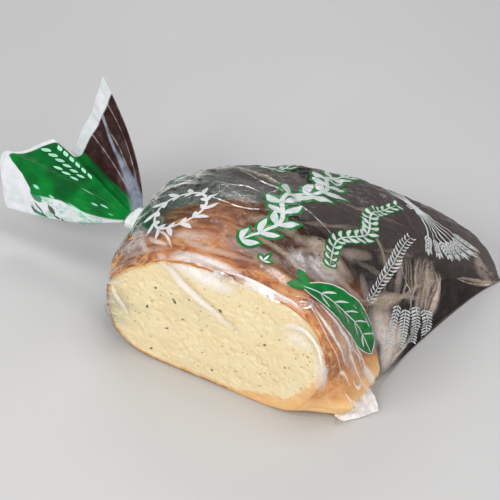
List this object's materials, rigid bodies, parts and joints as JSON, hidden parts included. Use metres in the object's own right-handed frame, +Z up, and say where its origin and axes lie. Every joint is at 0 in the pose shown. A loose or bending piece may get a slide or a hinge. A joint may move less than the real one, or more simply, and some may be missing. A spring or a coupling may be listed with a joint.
{
  "type": "loaf in bread bag",
  "caption": "Half a round hearth loaf lying with its cut face upright in a clear printed bread bag, gathered by a flat clip at the neck, its tail fanned out.",
  "frame": {"origin": "middle of the whole pack's footprint, on the floor", "axes": "+X from the tied neck to the end seam, along the bag; -Y the way the loaf's cut face looks; +Z up"},
  "size_m": [0.413, 0.2508, 0.1463],
  "materials": {
    "film": "clear glossy film over bread, shown solid",
    "tape": "satin white"
  },
  "bodies": {
    "root": {"bag": "film", "neck_clip": "tape"}
  },
  "joints": []
}
